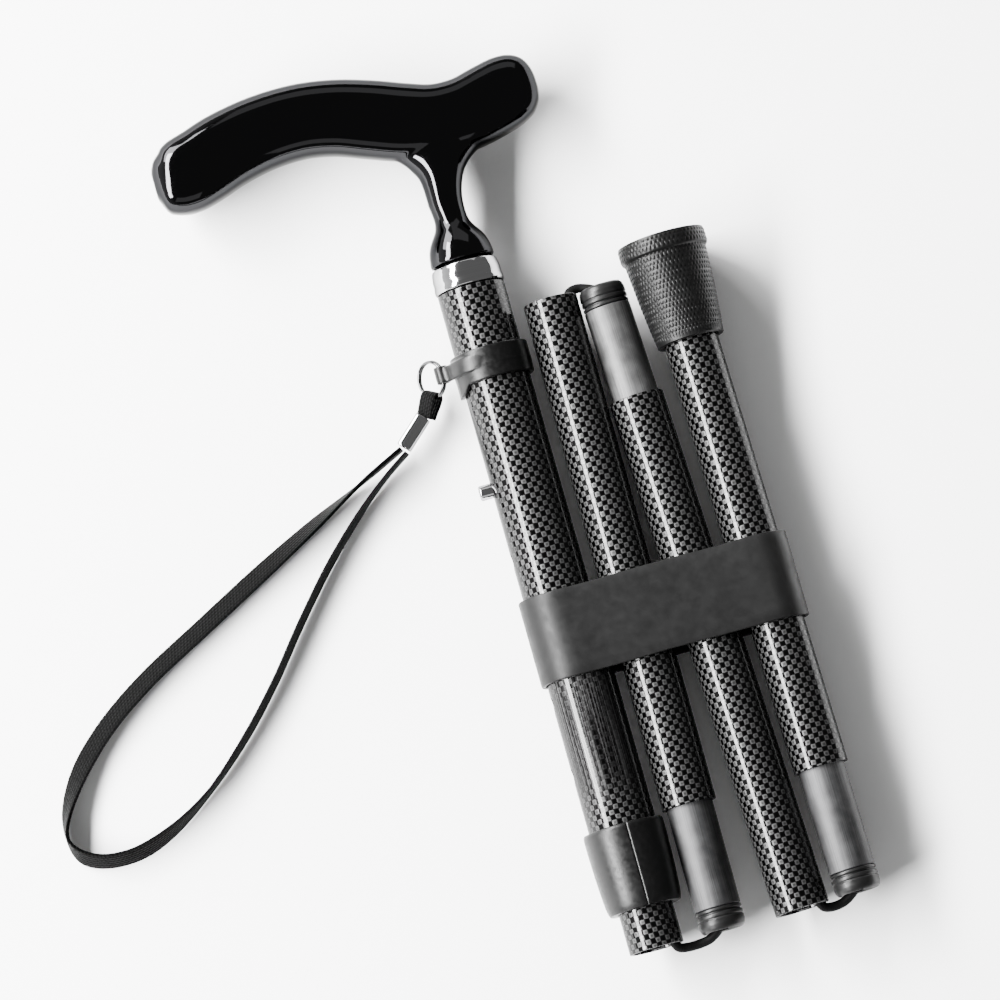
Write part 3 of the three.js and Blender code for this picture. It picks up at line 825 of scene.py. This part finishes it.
def snap_button():
    where = UPPER @ Matrix.Translation((0, FIRST_HOLE * MM, 0)) @ Matrix.Rotation(math.pi / 2, 4, "Z")
    outline = rounded([
        (0, 7.8), (BUTTON_R, 7.8), (BUTTON_R, BUTTON_TIP - 0.5), (BUTTON_R - 0.5, BUTTON_TIP),
        (0.9, BUTTON_TIP + 0.05), (0, BUTTON_TIP + 0.05),
    ], 0.45)
    button = turned("button_pin", outline, where, "chrome", 64)
    stands_for(button, "snap_button", "snap_button")


# ---- folding sections --------------------------------------------------------------------------

def tube(number):
    top = -END_GAP - EXPOSED[number]
    into_ferrule = SOLE + 1.8
    foot = -LENGTHS[number] + (into_ferrule if number == 4 else END_GAP)
    outline = ring_outline(TUBE_BORE, TUBE_R, foot, top, 0.35)
    skin = turned(f"tube_skin_{number}", outline, FRAMES[number], "tube_weave")
    stands_for(skin, BODIES[number], f"tube_{number}")


def coupler(number):
    where = FRAMES[number]
    top = -END_GAP
    neck = top - CAP_HEAD
    foot = top - EXPOSED[number] - COUPLER_HELD
    metal = "coupler_light" if number == 3 else "coupler_dark"
    sleeve_outline = ring_outline(COUPLER_BORE, COUPLER_R, foot, neck - GAP, 0.3)
    sleeve = turned(f"coupler_sleeve_{number}", sleeve_outline, where, metal)
    stands_for(sleeve, BODIES[number], f"coupler_{number}")
    groove, spigot = COUPLER_R - 0.65, COUPLER_BORE - GAP
    outline = rounded([
        (spigot, neck - CAP_SPIGOT), (spigot, neck), (COUPLER_R, neck), (COUPLER_R + 0.05, neck + 0.9),
        (groove, neck + 1.15), (groove, neck + 1.6), (COUPLER_R + 0.05, neck + 1.85),
        (COUPLER_R + 0.05, neck + 2.9), (COUPLER_R - 0.25, neck + 3.15), (COUPLER_R - 0.25, neck + 3.4),
        (COUPLER_R + 0.05, neck + 3.7), (COUPLER_R, top - 2.2), (COUPLER_R - 0.4, top - 0.8),
        (COUPLER_R - 1.1, top), (CORD_HOLE + 2.7, top - 1.5), (CORD_HOLE, top - 3.6),
        (CORD_HOLE, neck - CAP_SPIGOT), (spigot, neck - CAP_SPIGOT),
    ], 0.22)
    cap = turned(f"cap_grooved_{number}", outline, where, "cap_plastic")
    stands_for(cap, BODIES[number], f"coupler_cap_{number}")


def cord_bend(number):
    """The cord from one tube's mouth, over its rim, into the next coupler's cap."""
    here = FRAMES[number]
    mouth_y = MOUTH_Y if number == 1 else -LENGTHS[number]
    onward = here.inverted() @ FRAMES[number + 1]
    side = math.copysign(1, onward.translation.x)
    leaving = [(4.4, 6.5, 0), (5.8, 2.4, -1), (7.3, -0.9, -2), (10.2, -1.7, -2.8)]
    entering = [(5.9, 1.25, -2.8), (3.1, -0.1, -2), (0.9, -2, -0.6), (0, -4, 0), (0, -6, 0)]
    route = [Vector((side * x, mouth_y + y, z)) for x, y, z in leaving]
    for x, y, z in entering:
        point = onward @ (Vector((side * x, 0, z)) * MM) / MM
        down = onward.to_3x3() @ Vector((0, y, 0))
        route.append(point + down)
    path = smooth_path(route, 8)
    bend = swept(f"elastic_bend_{number}", path, circle(STRETCHED_R, 20), here, "braided_cord")
    stands_for(bend, f"cord_link_{number}", f"cord_bend_{number}")
    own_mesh(bend)


def ferrule():
    """The rubber foot, covered with small raised scales."""
    sole = -LENGTHS[4]
    mouth = sole + FERRULE_LENGTH
    rows_per_mm = 4

    def wall():
        points = [(14.45, sole + 6.3), (14.2, sole + 10), (13.5, sole + 20), (12.5, sole + 30),
                  (11.95, sole + 35)]
        fine = smooth_path([(r, y, 0) for r, y in points], 1)
        result = []
        for a, b in zip(fine, fine[1:]):
            steps = max(2, int((b - a).length * rows_per_mm))
            result += [tuple((a + (b - a) * (i / steps)).xy) for i in range(steps)]
        return result

    def scales(angle, radius, y):
        if radius < 11.7 or y > mouth - 1.6 or y < sole + 0.9:
            return 0
        if sole + 5.2 < y < sole + 6.25:
            return 0
        height = 1.7
        count = 60
        row = math.floor((y - sole) / height)
        v = (y - sole) / height - row
        u = angle / TAU * count + 0.5 * (row % 2)
        u = abs(u - math.floor(u) - 0.5) * 2
        rim = math.sqrt(max(0.0, 1 - u * u))
        return 0.26 * max(0.0, min(1.0, (rim - v) * 4)) * (0.4 + 0.6 * v)

    flange = [(15.1, sole + 0.05), (FERRULE_R, sole + 0.5)]
    flange += [(FERRULE_R, sole + 0.5 + 0.3 * i) for i in range(1, 16)]
    flange += [(FERRULE_R, sole + 5.3), (15.2, sole + 5.75), (14.7, sole + 6.0)]
    sole_rings = [(0, sole), (5, sole), (5.4, sole + 1), (6.6, sole + 1), (7, sole), (9.6, sole),
                  (10, sole + 1), (11.2, sole + 1), (11.6, sole), (14.6, sole)]
    lip = [(11.85, mouth - 1.2), (11.7, mouth - 0.4), (11.3, mouth), (10.2, mouth), (9.7, mouth - 0.4)]
    outline = sole_rings + flange + wall() + lip + [(9.7, sole + SOLE), (0, sole + SOLE)]
    scale = 15.25 / FERRULE_R  # the scales stand up to 0.24 above this
    outline = [(r * scale if 11.7 < r and sole + 0.4 < y else r, y) for r, y in outline]
    foot = turned("ferrule_scaled", outline, FRAMES[4], "ferrule_rubber", 420, scales)
    stands_for(foot, "section_4", "rubber_ferrule")


# ---- holding band ------------------------------------------------------------------------------

def holding_band():
    """A wide rubber band pulled tight round the four tubes."""
    low, high = (Vector(corner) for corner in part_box("holding_band"))
    near_r = OUTER_R + GAP
    far_r = TUBE_R + BAND_SLACK
    span = (high.x - low.x) / MM - near_r - far_r - 2 * BAND_WALL
    lean = math.acos((near_r - far_r) / span)

    def belt(extra):
        points = []
        for i in range(49):
            angle = lean + (TAU - 2 * lean) * i / 48
            points.append((near_r + extra) * Vector((math.cos(angle), math.sin(angle))))
        for i in range(33):
            angle = -lean + 2 * lean * i / 32
            outward = Vector((math.cos(angle), math.sin(angle)))
            points.append(Vector((span, 0)) + (far_r + extra) * outward)
        filled = []
        for a, b in zip(points, points[1:] + points[:1]):
            steps = max(1, round((b - a).length / 1.5))
            filled += [a + (b - a) * (i / steps) for i in range(steps)]
        return filled

    inner, outer = belt(0), belt(BAND_WALL)
    count = min(len(inner), len(outer))
    inner, outer = (resampled(loop, count) for loop in (inner, outer))
    top, foot = BAND_TOP, BAND_TOP - BAND_WIDTH
    profile = [(0, foot + 0.5), (0, top - 0.5), (0.2, top - 0.1), (0.5, top), (1.1, top),
               (1.45, top - 0.15), (BAND_WALL, top - 0.5)]
    profile += [(BAND_WALL, top - BAND_WIDTH * i / 8) for i in range(1, 8)]
    profile += [(BAND_WALL, foot + 0.5), (1.45, foot + 0.15), (1.1, foot), (0.5, foot),
                (0.2, foot + 0.1), (0, foot + 0.5)]
    vertices = []
    for depth, y in profile:
        share = depth / BAND_WALL
        for a, b in zip(inner, outer):
            p = a.lerp(b, share)
            dent = 0.28 * noise.noise(Vector((p.x * 0.05, y * 0.06, 2.0))) if 4 < p.x < span else 0
            sway = 0.35 * noise.noise(Vector((p.x * 0.04, p.y * 0.1, 7.0)))
            pinch = 0.2 * math.sin(math.pi * min(1, max(0, p.x / span))) * math.copysign(1, p.y)
            share_of_dent = 1 if 2 < p.x < span - 2 else 0.3
            vertices.append((p.x, y + sway, p.y - (pinch + dent) * share_of_dent))
    faces = grid_faces(len(profile), count, True)
    band = mesh_object("band_loop", vertices, faces, UPPER, "band_rubber")
    stands_for(band, "holding_band", "holding_band")
    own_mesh(band)


def resampled(loop, count):
    """The closed loop as count evenly spaced points."""
    lengths = [0.0]
    for a, b in zip(loop, loop[1:] + loop[:1]):
        lengths.append(lengths[-1] + (b - a).length)
    result, span = [], 0
    for i in range(count):
        want = lengths[-1] * i / count
        while lengths[span + 1] < want:
            span += 1
        a, b = loop[span], loop[(span + 1) % len(loop)]
        result.append(a.lerp(b, (want - lengths[span]) / (lengths[span + 1] - lengths[span])))
    return result


# ---- wrist strap -------------------------------------------------------------------------------

BARREL = Matrix.Translation((BARREL_X * MM, BARREL_Y * MM, 0))
HANGER = UPPER @ BARREL @ Matrix.Rotation(RING_TILT, 4, "Y")
RING_MIDDLE = 0.4 - RING_R
CRIMP_START = Vector((-27.2, -37.2, -7.1))
CRIMP_END = Vector((-36.4, -45.5, -7.6))

# The webbing's route, in the upper section's frame.
STRAP_ROUTE = [
    (-37.3, -45.7, -7.7), (-46, -49.7, -8.6), (-57, -54.7, -10), (-71.5, -61.7, -11.2),
    (-95, -73.6, -11.3), (-119, -86.2, -11.3), (-142.5, -98.7, -11.3), (-160.2, -110.9, -11.3),
    (-173.3, -124, -11.3), (-181, -137, -11.3), (-182.3, -145, -11.3), (-179.3, -151, -11.3),
    (-172.6, -154.6, -11.3), (-161, -155.2, -11.3), (-147.7, -151, -11.3), (-132, -141.6, -11.3),
    (-114.7, -126.6, -11.3), (-100.3, -111.2, -11.3), (-86.3, -94, -11.3), (-71.3, -77, -11.3),
    (-55.5, -61.8, -10.2), (-44.5, -53.2, -8.8), (-35.8, -47.5, -7.7),
]


def split_ring():
    """Two turns of flat-lying wire, side by side."""
    turns, steps = 1.97, 240
    path = []
    for i in range(steps + 1):
        angle = TAU * turns * i / steps + math.radians(210)
        lift = 0.52 * math.tanh(5 * (i / steps - 0.5)) / math.tanh(2.5)
        path.append(Vector((RING_MIDDLE + RING_R * math.cos(angle), RING_R * math.sin(angle), lift)))
    ring = swept("ring_two_turns", path, circle(0.5, 12), HANGER, "ring_wire")
    stands_for(ring, "wrist_strap", "split_ring")


def strap_tab():
    """Webbing folded over the ring's wire, its two layers pressed together."""
    spot = Vector((RING_MIDDLE - RING_R * math.cos(TAB_AROUND), -RING_R * math.sin(TAB_AROUND), 0)) * MM
    turn = Matrix.Rotation(TAB_AROUND, 4, "Z") @ Matrix.Rotation(TAB_LIFT, 4, "Y")
    where = HANGER @ Matrix.Translation(spot) @ turn
    layer = 1.9
    path = []
    for x in (-7.2, -5.6, -4, -2.6, -1.2, 0):
        pressed = 1 - 0.28 * max(0, -x - 1.5) / 4
        path.append(Vector((x, 0, -layer * pressed)))
    for i in range(1, 12):
        angle = -math.pi / 2 + math.pi * i / 12
        path.append(Vector((layer * math.cos(angle), 0, layer * math.sin(angle))))
    path += [Vector((p.x, 0, -p.z)) for p in reversed(path[:6])]
    tape = oval(3.4, 0.42, 5, 28)
    tab = swept("tab_folded", path, tape, where, "webbing", side_hint=Vector((0, 1, 0)))
    stands_for(tab, "wrist_strap", "strap_tab")
    return tab


def crimp():
    """A metal sleeve rolled round the webbing. Its seam is not drawn."""
    run = CRIMP_END - CRIMP_START
    turn = Vector((0, 1, 0)).rotation_difference(run.normalized()).to_matrix().to_4x4()
    where = UPPER @ Matrix.Translation(CRIMP_START * MM) @ turn
    length = run.length
    profile = rounded([
        (0, length / 2), (0, 0.6), (0.18, 0), (0.5, 0), (0.62, 0.5), (0.62, length - 0.5), (0.5, length),
        (0.18, length), (0, length - 0.6), (0, length / 2),
    ], 0.15)
    count = 96
    vertices = []
    for depth, y in profile:
        waist = 0.12 * math.cos(TAU * y / length * 2)
        for x, z in oval(1.95 + depth + waist, 1.8 + depth - waist, 3.6, count):
            vertices.append((x, y, z))
    faces = grid_faces(len(profile), count, True)
    sleeve = mesh_object("crimp_sleeve", vertices, faces, where, "chrome")
    stands_for(sleeve, "wrist_strap", "strap_crimp")
    return sleeve


def wrist_strap(pieces):
    """The webbing loop. It stands on its edge, and leans over along the far side."""
    floor = -UPPER.translation.z / MM
    base = smooth_path(STRAP_ROUTE, 12)
    last = len(base) - 1

    def lean(fraction):
        far_side = smooth_step(0.05, 0.2, fraction) * (1 - smooth_step(0.34, 0.46, fraction))
        foot = 0.55 * smooth_step(0.44, 0.52, fraction) * (1 - smooth_step(0.6, 0.7, fraction))
        near_side = 0.16 * smooth_step(0.66, 0.74, fraction) * (1 - smooth_step(0.86, 0.95, fraction))
        return math.radians(52) * max(far_side, foot, near_side)

    def roll(fraction):
        return -lean(fraction)

    half_width, half_thickness = 4.0, 0.72
    path = []
    for index, point in enumerate(base):
        angle = lean(index / last)
        half_height = half_width * math.cos(angle) + half_thickness * math.sin(angle)
        clear = floor + half_height + 0.25
        drop = smooth_step(0.05, 0.12, index / last) * (1 - smooth_step(0.88, 0.95, index / last))
        path.append(Vector((point.x, point.y, point.z + (clear - point.z) * drop)))
    tape = oval(half_width, half_thickness, 5, 36)
    strap = swept("strap_webbing", path, tape, UPPER, "webbing", roll=roll)
    stands_for(strap, "wrist_strap", "wrist_strap")


def smooth_step(low, high, value):
    t = min(1, max(0, (value - low) / (high - low)))
    return t * t * (3 - 2 * t)


# ---- CAD nodes that stay -----------------------------------------------------------------------

KEPT = {
    "hidden_plastic": ["handle_plug", "inner_tube_bush", "cord_plug_upper", "cord_plug_tip"],
    "ferrule_rubber": ["anti_rattle_bush"],
    "steel": ["handle_screw", "button_spring", "ferrule_washer"],
    "braided_cord": ["cord_upper", "cord_2", "cord_3", "cord_4", "cord_knot_upper", "cord_knot_tip"],
}


def dress_kept_nodes():
    for material, nodes in KEPT.items():
        for node in nodes:
            obj = frame["nodes"][node]
            for slot in obj.material_slots:
                slot.material = MATERIALS[material]


def add_floor():
    below = (0, 0, -0.0004)
    bpy.ops.mesh.primitive_grid_add(x_subdivisions=8, y_subdivisions=8, size=9, location=below)
    floor = bpy.context.object
    floor.name = "floor"
    floor.data.materials.append(floor_white())


add_camera()
split_ring()
wrist_strap([strap_tab(), crimp()])
handle()
handle_ring()
outer_tube()
strap_clip()
locking_collar()
inner_tube()
snap_button()
for number in (2, 3, 4):
    coupler(number)
    tube(number)
    cord_bend(number - 1)
ferrule()
holding_band()
dress_kept_nodes()
add_floor()
add_lights()
